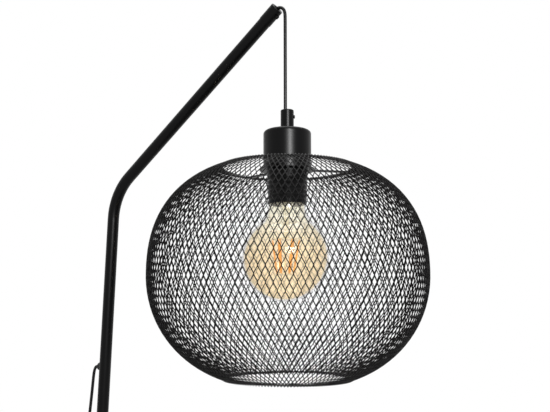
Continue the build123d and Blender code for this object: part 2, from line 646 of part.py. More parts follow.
def bulb_stem():
    """Glass stem with its flare, and the collars that carry the filaments."""
    top = BULB_TIP_Z - BULB_CAP_LENGTH
    high = BULB_MID_Z + FILAMENT_RISE + FILAMENT_LENGTH / 2
    stem = turned([(0, top), (STEM_R * 2, top), (STEM_R, top - STEM_LENGTH / 2), (STEM_R / 2, high + 1.5),
                   (FILAMENT_TOP_R + 1, high + 1.5), (FILAMENT_TOP_R + 1, high), (STEM_R / 4, high),
                   (STEM_R / 4, high - FILAMENT_LENGTH), (FILAMENT_BOTTOM_R + 1, high - FILAMENT_LENGTH),
                   (FILAMENT_BOTTOM_R + 1, high - FILAMENT_LENGTH - 1), (0, high - FILAMENT_LENGTH - 1)])
    return stem


def make_pendant():
    place = Pos(PENDANT_X, PENDANT_Y, 0)
    keep("cord_grip", place * cord_grip())
    keep("grip_screw", place * grip_screw())
    keep("canister", place * canister())
    nut_top = CANISTER_TOP_Z - CANISTER_WALL
    keep("canister_nut", place * hex_nut(CAP_NUT_FLATS, STUD_R + FIT, nut_top - CAP_NUT_T, nut_top))
    keep("lampholder_cap", place * lampholder_cap())
    keep("lampholder_body", place * lampholder_body())
    keep("threaded_collar", place * threaded_collar())
    block = cylinder(HOLDER_R - HOLDER_WALL - FIT, INSERT_BLOCK_Z, INSERT_BLOCK_Z + INSERT_BLOCK_T)
    keep("terminal_block", place * block)
    shell_low = INSERT_BLOCK_Z - SHELL_LENGTH
    shell = cylinder(SHELL_R, shell_low, INSERT_BLOCK_Z) - cylinder(SHELL_R - SHELL_WALL, shell_low - 1,
                                                                    INSERT_BLOCK_Z + 1)
    keep("screw_shell", place * shell)
    keep("centre_contact", place * cylinder(CONTACT_R, CONTACT_BOTTOM_Z, INSERT_BLOCK_Z))
    keep("holder_wires", place * holder_wires())
    keep("bulb_cap", place * bulb_cap())
    glass = bulb_body(0) - bulb_body(BULB_WALL)
    keep("bulb_glass", place * glass)
    keep("bulb_stem", place * bulb_stem())
    keep("bulb_filaments", place * filaments())


# ================================================================ shade
def half_profile(share, rise, powers, hole_r):
    """(radius, height) on one half of the shade; share runs from the equator to the hem."""
    p, q = powers
    last = acos((hole_r / SHADE_R) ** (p / 2))
    turn = share * last
    return SHADE_R * cos(turn) ** (2 / p), rise * sin(turn) ** (2 / q)


def shade_rows():
    """Evenly spaced (radius, height) rows from the lower hem's edge to the upper hem's edge."""
    steps = 160
    lower = [half_profile(k / steps, SHADE_BOTTOM_DROP, SHADE_BOTTOM_POWERS, BOTTOM_HOLE_R)
             for k in range(steps, 0, -1)]
    upper = [half_profile(k / steps, SHADE_TOP_RISE, SHADE_TOP_POWERS, TOP_HOLE_R) for k in range(steps + 1)]
    line = [(r, -z) for r, z in lower] + upper
    along = [0.0]
    for (r0, z0), (r1, z1) in zip(line, line[1:]):
        along.append(along[-1] + hypot(r1 - r0, z1 - z0))
    total = along[-1]
    wanted = [0.0] + [HEM + (total - 2 * HEM) * k / MESH_ROWS for k in range(MESH_ROWS + 1)] + [total]
    rows = []
    for w in wanted:
        k = max(i for i, s in enumerate(along[:-1]) if s <= w)
        share = (w - along[k]) / (along[k + 1] - along[k])
        rows.append(tuple(a + (b - a) * share for a, b in zip(line[k], line[k + 1])))
    return rows


def lattice_faces():
    """Flat faces of the mesh: strands with a ridge inside, round diamond openings."""
    rows = shade_rows()
    shrink = 1 - MESH_DEPTH / SHADE_R
    pitch = 2 * pi / MESH_AROUND
    faces = []

    def node(row, k):
        # Row 0 and the last row are the free edges of the hems; they line up with their neighbours.
        level = min(max(row, 1), MESH_ROWS + 1)
        turn = (k + 0.5 * (level % 2)) * pitch
        r, z = rows[row]
        return Vector(r * cos(turn), r * sin(turn), z)

    def face(*points):
        faces.append(Face(Wire.make_polygon(points, close=True)))

    def stubs(a, b):
        share = MESH_STUB / (b - a).length
        return a + (b - a) * share, b - (b - a) * share, share

    def strands(a, b, apex):
        left, right, share = stubs(a, b)
        middle = (a + b) / 2
        inner_apex = middle + (apex - middle) * (1 - 2 * share)
        face(a, left, inner_apex, right, b, apex)
        face(left, a * shrink, apex * shrink, inner_apex)
        face(inner_apex, apex * shrink, b * shrink, right)

    for row in range(1, MESH_ROWS + 2):
        odd = row % 2
        for k in range(MESH_AROUND):
            a, b = node(row, k), node(row, k + 1)
            if row <= MESH_ROWS:
                strands(a, b, node(row + 1, k + odd))
            if row >= 2:
                strands(a, b, node(row - 1, k + odd))
            if row in (1, MESH_ROWS + 1):
                edge = 0 if row == 1 else MESH_ROWS + 2
                c, d = node(edge, k), node(edge, k + 1)
                left, right, _ = stubs(a, b)
                face(a, left, right, b, d, c)
                face(left, right, b * shrink, a * shrink)
                face(a * shrink, b * shrink, d * shrink, c * shrink)
                face(c, d, d * shrink, c * shrink)
    return faces


def ring_seat(hole_r, rise, powers):
    """Centre radius and height of a hole's wire ring, which lies inside the hem."""
    r, z = half_profile(1.0, rise, powers, hole_r)
    r0, z0 = half_profile(0.97, rise, powers, hole_r)
    length = hypot(r - r0, z - z0)
    along = ((r0 - r) / length, (z0 - z) / length)
    # The ring's wire lies against the inside of the hem, its own radius back from the edge.
    depth = MESH_DEPTH + RUN + RING_WIRE_R
    inward = (along[1], -along[0])
    return r + along[0] * RING_WIRE_R + inward[0] * depth, z + along[1] * RING_WIRE_R + inward[1] * depth


def make_shade():
    ring_r, ring_rise = ring_seat(TOP_HOLE_R, SHADE_TOP_RISE, SHADE_TOP_POWERS)
    middle = TOP_RING_Z - ring_rise
    place = Pos(PENDANT_X, PENDANT_Y, middle)
    keep("shade_mesh", place * Solid(Shell(lattice_faces())))
    keep("shade_top_ring", place * Pos(0, 0, ring_rise) * Torus(ring_r, RING_WIRE_R))
    low_r, low_drop = ring_seat(BOTTOM_HOLE_R, SHADE_BOTTOM_DROP, SHADE_BOTTOM_POWERS)
    keep("shade_bottom_ring", place * Pos(0, 0, -low_drop) * Torus(low_r, RING_WIRE_R))
    print(f"shade middle {middle:.2f} top ring r {ring_r:.2f} bottom ring r {low_r:.2f} z {middle - low_drop:.2f}")
    keep("shade_spider", Pos(PENDANT_X, PENDANT_Y, 0) * shade_spider())


# ================================================================ foot switch on the lead
def rounded_block(length, width, low, high, corner):
    """Block with round corners between two heights."""
    return Pos(0, 0, low) * extrude(RectangleRounded(length, width, corner), high - low)


def switch_cover():
    """Upper shell of the switch with a round hole for the button."""
    outside = rounded_block(SWITCH_LENGTH, SWITCH_WIDTH, SWITCH_SPLIT_Z, SWITCH_HEIGHT, SWITCH_CORNER_R)
    outside = fillet(outside.faces().sort_by(Axis.Z)[-1].edges(), SWITCH_EDGE_R)
    inside = rounded_block(SWITCH_LENGTH - 2 * SWITCH_WALL, SWITCH_WIDTH - 2 * SWITCH_WALL,
                           SWITCH_SPLIT_Z - 1, SWITCH_HEIGHT - SWITCH_WALL, SWITCH_CORNER_R - SWITCH_WALL)
    inside = fillet(inside.faces().sort_by(Axis.Z)[-1].edges(), SWITCH_EDGE_R - SWITCH_WALL)
    return outside - inside - cylinder(BUTTON_R + RUN, 0, SWITCH_HEIGHT + 1)


def switch_base():
    """Lower shell of the switch: a tray that stands on the floor."""
    outside = rounded_block(SWITCH_LENGTH, SWITCH_WIDTH, 0, SWITCH_SPLIT_Z, SWITCH_CORNER_R)
    inside = rounded_block(SWITCH_LENGTH - 2 * SWITCH_WALL, SWITCH_WIDTH - 2 * SWITCH_WALL,
                           SWITCH_WALL, SWITCH_SPLIT_Z + 1, SWITCH_CORNER_R - SWITCH_WALL)
    outside = chamfer(outside.faces().sort_by(Axis.Z)[0].edges(), 0.8)
    return outside - inside


def switch_button():
    """Round foot button, held under the cover by its flange."""
    top = SWITCH_HEIGHT + BUTTON_PROUD
    flange_top = SWITCH_HEIGHT - SWITCH_WALL - SEAT
    body = cylinder(BUTTON_R, flange_top - BUTTON_FLANGE, top)
    body = fillet(body.edges().filter_by(GeomType.CIRCLE).sort_by(Axis.Z)[-1], 1.5)
    body += cylinder(BUTTON_R + 1.5, flange_top - BUTTON_FLANGE, flange_top)
    stem_low = SWITCH_WALL + SWITCH_BLOCK[2] + BUTTON_TRAVEL + SEAT
    return body + cylinder(BUTTON_STEM_R, stem_low, flange_top)


def switch_spring():
    """Return spring between the switch block and the button."""
    low = SWITCH_WALL + SWITCH_BLOCK[2] + SPRING_WIRE_R + RUN
    high = SWITCH_HEIGHT - SWITCH_WALL - SEAT - BUTTON_FLANGE - SPRING_WIRE_R - RUN
    path = Pos(0, 0, low) * Helix((high - low) / SPRING_TURNS, high - low, SPRING_R)
    start = Plane(origin=path @ 0, z_dir=path % 0)
    return sweep(start * Circle(SPRING_WIRE_R), path=path)


def cord_relief(low_r, high_r, length):
    """Tapered strain relief along +Z; the wide end is at the origin."""
    return Cone(high_r, low_r, length, align=(Align.CENTER, Align.CENTER, Align.MIN))


def make_switch():
    place = Pos(SWITCH_AT[0], SWITCH_AT[1], 0) * Rot(0, 0, SWITCH_TURN)
    keep("foot_switch_base", place * switch_base())
    keep("foot_switch_cover", place * switch_cover())
    keep("foot_switch_button", place * switch_button())
    keep("foot_switch_spring", place * switch_spring())
    length, width, height = SWITCH_BLOCK
    block = Pos(0, 0, SWITCH_WALL + height / 2) * Box(length, width, height)
    keep("foot_switch_block", place * block)
    ends = []
    for side in (-1, 1):
        spot = Plane(origin=(side * SWITCH_LENGTH / 2, 0, SWITCH_CORD_Z), z_dir=(side, 0, 0)).location
        ends.append(place * spot * cord_relief(RELIEF_SMALL_R, RELIEF_BIG_R, RELIEF_LENGTH))
    keep("foot_switch_reliefs", Compound(children=ends))


def switch_end(side):
    """Where the cord meets the relief on one side of the switch, and the way it leaves."""
    turn = radians(SWITCH_TURN)
    reach = side * (SWITCH_LENGTH / 2 + RELIEF_LENGTH)
    point = Vector(SWITCH_AT[0] + reach * cos(turn), SWITCH_AT[1] + reach * sin(turn), SWITCH_CORD_Z)
    return point, Vector(side * cos(turn), side * sin(turn), 0)


# ================================================================ mains lead
FLOOR_Z = CORD_R + 0.05
EXIT_RUN = 5.4
# From the grommet down to the floor behind the base, then round to the switch.
LEAD_ROUTE = [
    (20.3, 0.2, 1112.8), (18.4, 0.5, 1104.2), (16.2, 1.0, 1086.0), (11.9, 1.6, 1053.0),
    (5.8, 1.2, 1004.0), (1.0, 0.2, 947.0), (-2.4, -1.2, 889.0), (-6.6, -2.2, 831.0),
    (-11.6, -2.4, 773.0), (-15.9, -1.4, 715.0), (-20.0, 0.4, 657.0), (-25.4, 2.4, 600.0),
    (-31.6, 4.2, 543.0), (-37.6, 5.4, 486.0), (-44.2, 6.4, 430.0), (-52.2, 7.8, 375.0),
    (-60.6, 9.8, 321.0), (-69.6, 12.0, 268.0), (-80.4, 14.0, 217.0), (-93.0, 16.2, 168.0),
    (-107.2, 18.6, 122.0), (-124.0, 21.0, 80.0), (-142.6, 24.0, 46.0), (-163.0, 28.2, 20.5),
    (-184.0, 34.0, 6.4), (-206.0, 44.0, FLOOR_Z), (-222.0, 62.0, FLOOR_Z),
    (-229.0, 86.0, FLOOR_Z), (-227.0, 108.0, 3.0)]
LINK_ROUTE = [(-137.0, 250.4, 4.4), (-123.0, 260.6, 2.8)]


def coil_point(turns):
    """Point of the coil after a number of turns: in on the floor, up one layer, and out again."""
    half = COIL_TURNS_PER_LAYER
    inner_r = COIL_MIDDLE_R - COIL_PITCH * (half - 1) / 2
    r = inner_r + COIL_PITCH * abs(turns - half) - COIL_PITCH / 4
    climb = min(max((turns - half) * 2 + 0.5, 0.0), 1.0)
    z = FLOOR_Z + COIL_PITCH * climb
    turn = radians(COIL_START) - 2 * pi * turns
    return Vector(COIL_AT[0] + r * cos(turn), COIL_AT[1] + r * sin(turn), z)


def coil_way(turns):
    """Direction of the coil at a place, from its neighbours."""
    step = 0.02
    last = 2.0 * COIL_TURNS_PER_LAYER
    before = coil_point(max(turns - step, 0.0))
    after = coil_point(min(turns + step, last))
    return (after - before).normalized()


def biarc(p0, t0, p1, t1):
    """Two tangent arcs from one place and direction to another."""
    v = p1 - p0
    t = t0 + t1
    slack = 2 * (1 - t0.dot(t1))
    reach = (-v.dot(t) + (v.dot(t) ** 2 + slack * v.dot(v)) ** 0.5) / slack
    q0 = p0 + t0 * reach
    q1 = p1 - t1 * reach
    middle = (q0 + q1) / 2
    return [TangentArc(p0, middle, tangent=t0), TangentArc(middle, p1, tangent=q1 - q0)]


def coil_route():
    """Places a quarter turn apart, with the direction of the coil at each."""
    count = 8 * COIL_TURNS_PER_LAYER
    return [(coil_point(k / 4), coil_way(k / 4)) for k in range(count + 1)]


def lead_coil():
    """The put-away length, wound flat in two layers, as one unbroken tube."""
    stops = coil_route()
    end = 2 * CORD_R
    first, way_in = stops[0]
    last, way_out = stops[-1]
    pieces = [Line(first - way_in * end, first)]
    for (p0, t0), (p1, t1) in zip(stops, stops[1:]):
        pieces += biarc(p0, t0, p1, t1)
    pieces.append(Line(last, last + way_out * end))
    path = Wire(pieces)
    start = Plane(origin=first - way_in * end, z_dir=way_in)
    tube = sweep(start * Circle(CORD_R), path=path)
    samples = [path @ (k / 1500) for k in range(1501)]
    spacing = path.length / 1500
    near = int(pi * COIL_MIDDLE_R / spacing)
    least = min((a - b).length for i, a in enumerate(samples) for b in samples[i + near::2])
    print(f"lead_coil: length {path.length:.1f} least gap {least - 2 * CORD_R:.2f}",
          f"volume ratio {tube.volume / (pi * CORD_R ** 2 * path.length):.4f}")
    return tube, first - way_in * end, way_in, last + way_out * end, way_out


def plug_end():
    """Where the lead meets the plug's relief, and the way the relief points."""
    turn = radians(PLUG_TURN)
    back = PLUG_LENGTH / 2 + RELIEF_LENGTH
    point = Vector(PLUG_AT[0] - back * cos(turn), PLUG_AT[1] - back * sin(turn), PLUG_Z)
    return point, Vector(-cos(turn), -sin(turn), 0)


def make_plug():
    place = Pos(PLUG_AT[0], PLUG_AT[1], PLUG_Z) * Rot(0, 0, PLUG_TURN)
    outline = Polyline([(-PLUG_LENGTH / 2, -6), (-PLUG_LENGTH / 2, 6), (-2, PLUG_WIDTH / 2),
                        (PLUG_LENGTH / 2, PLUG_WIDTH / 2), (PLUG_LENGTH / 2, -PLUG_WIDTH / 2),
                        (-2, -PLUG_WIDTH / 2)], close=True)
    body = Pos(0, 0, -PLUG_THICK / 2) * extrude(make_face(outline), PLUG_THICK)
    body = fillet(body.edges().filter_by(Axis.Z), 3.0)
    body = fillet(body.faces().sort_by(Axis.Z)[-1].edges() + body.faces().sort_by(Axis.Z)[0].edges(), 2.0)
    keep("plug_body", place * body)
    pins = []
    for side in (-1, 1):
        spot = Plane(origin=(PLUG_LENGTH / 2, side * PIN_SPACING / 2, 0), z_dir=(1, 0, 0)).location
        pin = cylinder(PIN_R, 0, PIN_LENGTH)
        pin = fillet(pin.edges().filter_by(GeomType.CIRCLE).sort_by(Axis.Z)[-1], 1.4)
        pins.append(place * spot * pin)
    keep("plug_pins", Compound(children=pins))
    spot = Plane(origin=(-PLUG_LENGTH / 2, 0, 0), z_dir=(-1, 0, 0)).location
    keep("plug_relief", place * spot * cord_relief(RELIEF_SMALL_R, RELIEF_BIG_R, RELIEF_LENGTH))


def make_lead():
    coil, coil_in, way_in, coil_out, way_out = lead_coil()
    keep("lead_coil", coil)

    start = on_pole(GROMMET_S, -(TUBE_R + GROMMET_PROUD))
    switch_in, in_way = switch_end(-1)
    out_of_grommet = start - LEAN_OUT * EXIT_RUN
    into_switch = [tuple(switch_in + in_way * 14), tuple(switch_in)]
    drop = [tuple(start), tuple(out_of_grommet)] + LEAD_ROUTE + into_switch
    tube = cord_tube(drop)
    keep("lead_drop", tube)
    report_cord("lead_drop", drop, tube)

    switch_out, out_way = switch_end(1)
    link = [tuple(switch_out), tuple(switch_out + out_way * 9)] + LINK_ROUTE
    link += [tuple(coil_in - way_in * 12), tuple(coil_in)]
    tube = cord_tube(link)
    keep("lead_link", tube)
    report_cord("lead_link", link, tube)

    plug_in, plug_way = plug_end()
    tail = [tuple(coil_out), tuple(coil_out + way_out * 10)] + TAIL_ROUTE
    tail += [tuple(plug_in + plug_way * 10), tuple(plug_in)]
    tube = cord_tube(tail)
    keep("lead_tail", tube)
    report_cord("lead_tail", tail, tube)


TAIL_ROUTE = [(-64.0, 261.0, 3.6), (-51.6, 249.6, 3.6)]

make_base()
make_pole()
make_hanging_cord()
make_pendant()
make_shade()
make_switch()
make_plug()
make_lead()

for node_name, node_shape in NODES.items():
    export_step(node_shape, f"parts/{node_name}.step")
print("tip", tuple(TIP), "first flex", tuple(FIRST_FLEX), "second flex", tuple(SECOND_FLEX))
print("pendant axis", PENDANT_X, PENDANT_Y, "grip top", GRIP_TOP_Z, "cord end", CORD_END_Z)
print("hub top", HUB_TOP_Z, "bulb middle", BULB_MID_Z, "nodes", len(NODES))
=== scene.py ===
import bpy
import json
from math import acos, atan2, cos, hypot, pi, radians, sin, tan
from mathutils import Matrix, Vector

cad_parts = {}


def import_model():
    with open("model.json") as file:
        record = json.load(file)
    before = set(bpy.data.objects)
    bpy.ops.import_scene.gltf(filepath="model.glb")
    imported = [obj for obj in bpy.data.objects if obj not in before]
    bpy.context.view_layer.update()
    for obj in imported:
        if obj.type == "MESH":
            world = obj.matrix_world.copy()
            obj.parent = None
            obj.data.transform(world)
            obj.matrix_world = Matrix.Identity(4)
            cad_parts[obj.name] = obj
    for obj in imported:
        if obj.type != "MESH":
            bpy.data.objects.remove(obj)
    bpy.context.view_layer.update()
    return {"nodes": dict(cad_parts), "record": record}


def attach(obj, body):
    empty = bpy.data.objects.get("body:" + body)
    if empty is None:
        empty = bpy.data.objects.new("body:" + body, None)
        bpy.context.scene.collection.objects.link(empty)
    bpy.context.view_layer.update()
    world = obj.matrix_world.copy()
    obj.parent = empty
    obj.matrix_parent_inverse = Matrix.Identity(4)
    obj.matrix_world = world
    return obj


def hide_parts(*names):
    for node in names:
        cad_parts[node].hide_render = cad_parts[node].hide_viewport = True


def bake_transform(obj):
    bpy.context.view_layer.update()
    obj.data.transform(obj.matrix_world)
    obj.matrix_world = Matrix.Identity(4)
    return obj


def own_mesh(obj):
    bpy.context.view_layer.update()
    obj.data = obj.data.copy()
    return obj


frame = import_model()

# The row frame: origin under the middle of the base, +X from the pole to the shade. Lengths are in metres
# and angles in degrees, unless a comment says otherwise; the mains lead is laid out in millimetres.
AXIS_X, AXIS_Y = 0.324213, 0.001174      # vertical axis of the shade and the lampholder
CORD_R = 0.00195
NEARLY_ZERO = 0.00002                    # radius of a turned surface where it meets its axis

# ================================================================ camera
CAMERA_AZIMUTH = 34.0
CAMERA_PITCH = 7.65
CAMERA_HEIGHT = 1.2
CAMERA_AWAY = 0.8023
CAMERA_ASIDE = 0.0131
CAMERA_TURN = 0.06      # turned this much further left than the azimuth of its place
CAMERA_LENS = 47.13
CAMERA_SENSOR = 36.0


def beside_shade(right, back, height):
    """Place to the right of the shade's axis and back towards the camera."""
    a = radians(CAMERA_AZIMUTH)
    return (AXIS_X + cos(a) * right + sin(a) * back, AXIS_Y + sin(a) * right - cos(a) * back, height)


def add_camera():
    data = bpy.data.cameras.new("camera")
    data.lens = CAMERA_LENS
    data.sensor_width = CAMERA_SENSOR
    data.clip_start = 0.02
    camera = bpy.data.objects.new("camera", data)
    camera.location = beside_shade(-CAMERA_ASIDE, CAMERA_AWAY, CAMERA_HEIGHT)
    camera.rotation_euler = (radians(90 + CAMERA_PITCH), 0, radians(CAMERA_AZIMUTH + CAMERA_TURN))
    bpy.context.scene.collection.objects.link(camera)
    bpy.context.scene.camera = camera


add_camera()

# ================================================================ materials
NOISE_LOW, NOISE_HIGH = 0.3, 0.7     # the part of a noise's values that is spread over the whole change
SPECK_DETAIL = 5.0
WEAR_DETAIL = 4.0
WEAR_SCALE = 0.12                    # scale of the uneven gloss, as a share of the scale of the specks
LEAST_ROUGH = 0.02
RELIEF_DETAIL = 3.0
RELIEF_DEPTH = 0.0004
COAT_ROUGH = 0.05
DUST_COLOR = (0.45, 0.43, 0.4)
DUST_FACES_UP = 0.6                  # dust lies where the normal's upward part is more than this
SHARP_EDGE = 28.0                    # edges of the CAD pieces that are sharper than this stay sharp


def noise(nodes, links, place, scale, detail):
    """Values of a fine noise that is fixed to the object."""
    texture = nodes.new("ShaderNodeTexNoise")
    texture.inputs["Scale"].default_value = scale
    texture.inputs["Detail"].default_value = detail
    links.new(place, texture.inputs["Vector"])
    return texture.outputs["Fac"]


def spread(nodes, links, value, source, target=(0.0, 1.0)):
    """Node that maps a value from one range to another, and stops at both ends."""
    node = nodes.new("ShaderNodeMapRange")
    node.inputs["From Min"].default_value = source[0]
    node.inputs["From Max"].default_value = source[1]
    node.inputs["To Min"].default_value = target[0]
    node.inputs["To Max"].default_value = target[1]
    links.new(value, node.inputs["Value"])
    return node


def mix_to(nodes, links, factor, start, color):
    """Colour that goes from a socket's colour to a fixed one as the factor goes from 0 to 1."""
    mix = nodes.new("ShaderNodeMix")
    mix.data_type = "RGBA"
    mix.inputs["B"].default_value = (*color, 1)
    links.new(factor, mix.inputs["Factor"])
    links.new(start, mix.inputs["A"])
    return mix.outputs["Result"]


def upward_part(nodes, links, vector):
    split = nodes.new("ShaderNodeSeparateXYZ")
    links.new(vector, split.inputs["Vector"])
    return split.outputs["Z"]


def speckled(nodes, links, place, color, speck, scale):
    """Colour that varies by a share, speck, up and down."""
    tone = nodes.new("ShaderNodeValToRGB")
    dark, light = tone.color_ramp.elements
    dark.position = NOISE_LOW
    light.position = NOISE_HIGH
    dark.color = (*[c * (1 - speck) for c in color], 1)
    light.color = (*[min(1.0, c * (1 + speck)) for c in color], 1)
    links.new(noise(nodes, links, place, scale, SPECK_DETAIL), tone.inputs["Fac"])
    return tone.outputs["Color"]


def material(name, color, rough, metallic=0.0, specular=0.5, coat=0.0, glow=0.0, dust=0.0,
             rough_spread=0.08, speck=0.25, speck_scale=400.0, bump=0.05, bump_scale=1500.0):
    """Material with fine colour variation, uneven gloss and a fine surface relief."""
    m = bpy.data.materials.new(name)
    m.use_nodes = True
    nodes, links = m.node_tree.nodes, m.node_tree.links
    shader = nodes["Principled BSDF"]
    shader.inputs["Metallic"].default_value = metallic
    shader.inputs["Specular IOR Level"].default_value = specular
    shader.inputs["Coat Weight"].default_value = coat
    shader.inputs["Coat Roughness"].default_value = COAT_ROUGH
    shader.inputs["Emission Color"].default_value = (*color, 1)
    shader.inputs["Emission Strength"].default_value = glow
    place = nodes.new("ShaderNodeTexCoord").outputs["Object"]

    shown_color = speckled(nodes, links, place, color, speck, speck_scale)
    if dust:
        upward = upward_part(nodes, links, nodes.new("ShaderNodeNewGeometry").outputs["Normal"])
        film = spread(nodes, links, upward, (DUST_FACES_UP, 1.0), (0.0, dust))
        shown_color = mix_to(nodes, links, film.outputs["Result"], shown_color, DUST_COLOR)
    links.new(shown_color, shader.inputs["Base Color"])

    wear = noise(nodes, links, place, speck_scale * WEAR_SCALE, WEAR_DETAIL)
    limits = (max(LEAST_ROUGH, rough - rough_spread), min(1.0, rough + rough_spread))
    gloss = spread(nodes, links, wear, (NOISE_LOW, NOISE_HIGH), limits)
    links.new(gloss.outputs["Result"], shader.inputs["Roughness"])

    relief = nodes.new("ShaderNodeBump")
    relief.inputs["Strength"].default_value = bump
    relief.inputs["Distance"].default_value = RELIEF_DEPTH
    links.new(noise(nodes, links, place, bump_scale, RELIEF_DETAIL), relief.inputs["Height"])
    links.new(relief.outputs["Normal"], shader.inputs["Normal"])
    return m


def glass_material(name, color, ior, rough=0.03, clear=1.0, glow=0.0, coat=0.0, bump=0.02,
                   painted_lit_top_color=None, fade=(0, 1)):
    """Tinted glass; clear is the share of light that it lets through. Where a paler top colour is given,
    the glass goes over to it between the two heights of fade: a painted lighter top, standing in for light
    on the upper glass."""
    m = material(name, color, rough, coat=coat, glow=glow, rough_spread=0.01,
                 speck=0.02, speck_scale=60, bump=bump, bump_scale=120)
    nodes, links = m.node_tree.nodes, m.node_tree.links
    shader = nodes["Principled BSDF"]
    shader.inputs["Transmission Weight"].default_value = clear
    shader.inputs["IOR"].default_value = ior
    # painted light: the glass colour turns paler towards the top, standing in for light on the upper glass
    if painted_lit_top_color:
        height = upward_part(nodes, links, nodes.new("ShaderNodeTexCoord").outputs["Object"])
        lit_top_share = spread(nodes, links, height, fade)
        tint_and_lit_top = shader.inputs["Base Color"].links[0].from_socket
        tint_and_lit_top = mix_to(nodes, links, lit_top_share.outputs["Result"], tint_and_lit_top, painted_lit_top_color)
        links.new(tint_and_lit_top, shader.inputs["Base Color"])
    return m


MATERIALS = {
    "black_steel": material(
        "satin_black_steel", (0.0008, 0.0008, 0.0009), 0.3, specular=0.11, rough_spread=0.015,
        speck=0.2, bump=0.004, bump_scale=500),
    "base_paint": material(
        "satin_black_base", (0.003, 0.003, 0.0032), 0.42, specular=0.16, dust=0.01,
        speck=0.2, bump=0.04, bump_scale=900),
    "cast_iron": material(
        "cast_iron", (0.12, 0.12, 0.12), 0.75, metallic=0.8,
        speck=0.4, speck_scale=200, bump=0.6, bump_scale=500),
    "foam_pad": material(
        "foam_pad", (0.02, 0.02, 0.02), 0.92,
        speck=0.4, bump=0.6, bump_scale=900),
    "zinc_steel": material(
        "zinc_steel", (0.62, 0.62, 0.6), 0.32, metallic=1.0,
        speck=0.12, bump=0.08),
    "black_plastic": material(
        "black_plastic", (0.0015, 0.0015, 0.0015), 0.22, specular=0.12,
        speck=0.15, bump=0.03),
    "black_rubber": material(
        "black_rubber", (0.005, 0.005, 0.005), 0.55, specular=0.25,
        speck=0.2, bump=0.1, bump_scale=1800),
    "cord_jacket": material(
        "cord_jacket", (0.003, 0.003, 0.0032), 0.34, specular=0.17, rough_spread=0.02,
        speck=0.06, bump=0.0),
    "white_ceramic": material(
        "white_ceramic", (0.82, 0.81, 0.77), 0.2, coat=0.3,
        speck=0.04, bump=0.03),
    "bulb_brass": material(
        "bulb_brass", (0.72, 0.6, 0.34), 0.28, metallic=1.0,
        speck=0.1),
    "filament_yellow": material(
        "filament_yellow", (0.78, 0.33, 0.015), 0.5, specular=0.1, glow=0.15,
        speck=0.15, bump=0.1),
    "plug_nickel": material(
        "plug_nickel", (0.7, 0.69, 0.66), 0.22, metallic=1.0,
        speck=0.08, bump=0.04),
    # the paler top colour of the bulb glass is painted light, not a real change of the glass's colour
    "amber_glass": glass_material(
        "amber_glass", (1.0, 0.89, 0.715), 1.04, rough=0.13, clear=0.95, glow=0.01, coat=0.5, bump=0.0,
        painted_lit_top_color=(0.98, 0.96, 0.87), fade=(1.255, 1.3)),
    "clear_glass": glass_material(
        "clear_glass", (0.97, 0.93, 0.82), 1.15),
}
MESH_BLACK = material(
    "mesh_black", (0.0014, 0.0012, 0.0013), 0.45, specular=0.065,
    speck=0.2, bump=0.02, bump_scale=900)
HEM_BLACK = material(
    "hem_black", (0.003, 0.003, 0.003), 0.34, specular=0.26,
    speck=0.2, bump=0.02, bump_scale=900)


def dress_cad_nodes():
    slots = {part["node"]: part["material_slot"] for part in frame["record"]["subparts"]}
    for node, shown in frame["nodes"].items():
        shown.data.materials.clear()
        shown.data.materials.append(MATERIALS[slots[node]])
        shown.data.shade_smooth()
        shown.data.set_sharp_from_angle(angle=radians(SHARP_EDGE))


dress_cad_nodes()


# ================================================================ mesh helpers
def mesh_object(name, points, faces, mat, smooth=True, sharp=None):
    """New mesh object in the row frame; edges sharper than the angle sharp stay sharp."""
    data = bpy.data.meshes.new(name)
    data.from_pydata([tuple(p) for p in points], [], faces)
    data.update()
    data.materials.append(mat)
    if smooth:
        data.shade_smooth()
    if sharp:
        data.set_sharp_from_angle(angle=radians(sharp))
    obj = bpy.data.objects.new(name, data)
    bpy.context.scene.collection.objects.link(obj)
    return obj


def turned_faces(steps, count, closed=True):
    """Faces between outlines of count points, which stand side by side all the way round."""
    faces = []
    for k in range(steps):
        here, beside = k * count, (k + 1) % steps * count
        for i in range(count if closed else count - 1):
            j = (i + 1) % count
            faces.append((here + i, beside + i, beside + j, here + j))
    return faces


def lathe(name, outline, mat, steps=96, closed=True, sharp=None):
    """Surface turned about the shade's axis from (radius, height) points."""
    points = []
    for k in range(steps):
        a = 2 * pi * k / steps
        points += [(AXIS_X + r * cos(a), AXIS_Y + r * sin(a), z) for r, z in outline]
    return mesh_object(name, points, turned_faces(steps, len(outline), closed), mat, sharp=sharp)


def nurbs(name, points, radius=None, resolution=8):
    """Smooth curve with these control points; a round tube where radius is given."""
    data = bpy.data.curves.new(name, "CURVE")
    data.dimensions = "3D"
    spline = data.splines.new("NURBS")
    spline.points.add(len(points) - 1)
    for place, p in zip(spline.points, points):
        place.co = (*p, 1)
    spline.order_u = 3
    spline.use_endpoint_u = True
    spline.resolution_u = resolution
    data.resolution_u = resolution
    if radius:
        data.bevel_depth = radius
        data.bevel_resolution = 4
        data.use_fill_caps = True
    obj = bpy.data.objects.new(name, data)
    bpy.context.scene.collection.objects.link(obj)
    return obj


def curve_line(points, resolution):
    """Points along the smooth curve through these control points, as the curve itself gives them."""
    guide = nurbs("guide", points, resolution=resolution)
    bpy.context.view_layer.update()
    data = bpy.data.meshes.new_from_object(guide.evaluated_get(bpy.context.evaluated_depsgraph_get()))
    line = [v.co.copy() for v in data.vertices]
    curve = guide.data
    bpy.data.objects.remove(guide)
    bpy.data.curves.remove(curve)
    bpy.data.meshes.remove(data)
    return line


def line_length(line):
    return sum((b - a).length for a, b in zip(line, line[1:]))


def tube_faces(rings, sides, first=0):
    """Faces along a closed tube whose points come ring by ring, from number first on."""
    faces = []
    for i in range(rings - 1):
        for k in range(sides):
            a, b = first + i * sides + k, first + i * sides + (k + 1) % sides
            faces.append((a, b, b + sides, a + sides))
    last = first + (rings - 1) * sides
    faces.append(tuple(range(first + sides - 1, first - 1, -1)))
    faces.append(tuple(range(last, last + sides)))
    return faces


